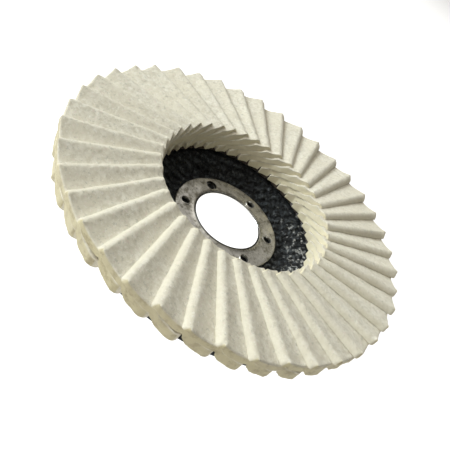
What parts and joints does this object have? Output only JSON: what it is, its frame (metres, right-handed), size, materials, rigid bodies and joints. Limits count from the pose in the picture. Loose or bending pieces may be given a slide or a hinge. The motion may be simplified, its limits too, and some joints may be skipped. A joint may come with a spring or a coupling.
{
  "type": "felt flap polishing disc",
  "caption": "Angle-grinder polishing wheel: thick wool-felt flaps shingled round a dished glass-fibre backing plate with a steel-lined arbor hole.",
  "frame": {"origin": "centre of the rear hub face, on the spin axis, the face that sits on the grinder's flange and the lowest point of the disc", "axes": "+Z is the spin axis and points from the hub to the felt working face; X and Y lie in the plane of the disc"},
  "size_m": [0.1144, 0.1144, 0.0178],
  "materials": {
    "wool_felt": "pressed wool felt, matt and fibrous, cream white",
    "glass_fibre": "black resin over coarse woven glass cloth, uneven, satin highlights",
    "ring_steel": "stamped mild steel, dull with light stains",
    "epoxy": "cured dark epoxy resin, satin"
  },
  "bodies": {
    "root": {"backing_plate": "glass_fibre", "centre_ring": "ring_steel", "rear_washer": "ring_steel", "epoxy_bed": "epoxy", "felt_flap_01": "wool_felt", "felt_flap_02": "wool_felt", "felt_flap_03": "wool_felt", "felt_flap_04": "wool_felt", "felt_flap_05": "wool_felt", "felt_flap_06": "wool_felt", "felt_flap_07": "wool_felt", "felt_flap_08": "wool_felt", "felt_flap_09": "wool_felt", "felt_flap_10": "wool_felt", "felt_flap_11": "wool_felt", "felt_flap_12": "wool_felt", "felt_flap_13": "wool_felt", "felt_flap_14": "wool_felt", "felt_flap_15": "wool_felt", "felt_flap_16": "wool_felt", "felt_flap_17": "wool_felt", "felt_flap_18": "wool_felt", "felt_flap_19": "wool_felt", "felt_flap_20": "wool_felt", "felt_flap_21": "wool_felt", "felt_flap_22": "wool_felt", "felt_flap_23": "wool_felt", "felt_flap_24": "wool_felt", "felt_flap_25": "wool_felt", "felt_flap_26": "wool_felt", "felt_flap_27": "wool_felt", "felt_flap_28": "wool_felt", "felt_flap_29": "wool_felt", "felt_flap_30": "wool_felt", "felt_flap_31": "wool_felt", "felt_flap_32": "wool_felt", "felt_flap_33": "wool_felt", "felt_flap_34": "wool_felt", "felt_flap_35": "wool_felt", "felt_flap_36": "wool_felt", "felt_flap_37": "wool_felt", "felt_flap_38": "wool_felt", "felt_flap_39": "wool_felt", "felt_flap_40": "wool_felt"}
  },
  "joints": []
}
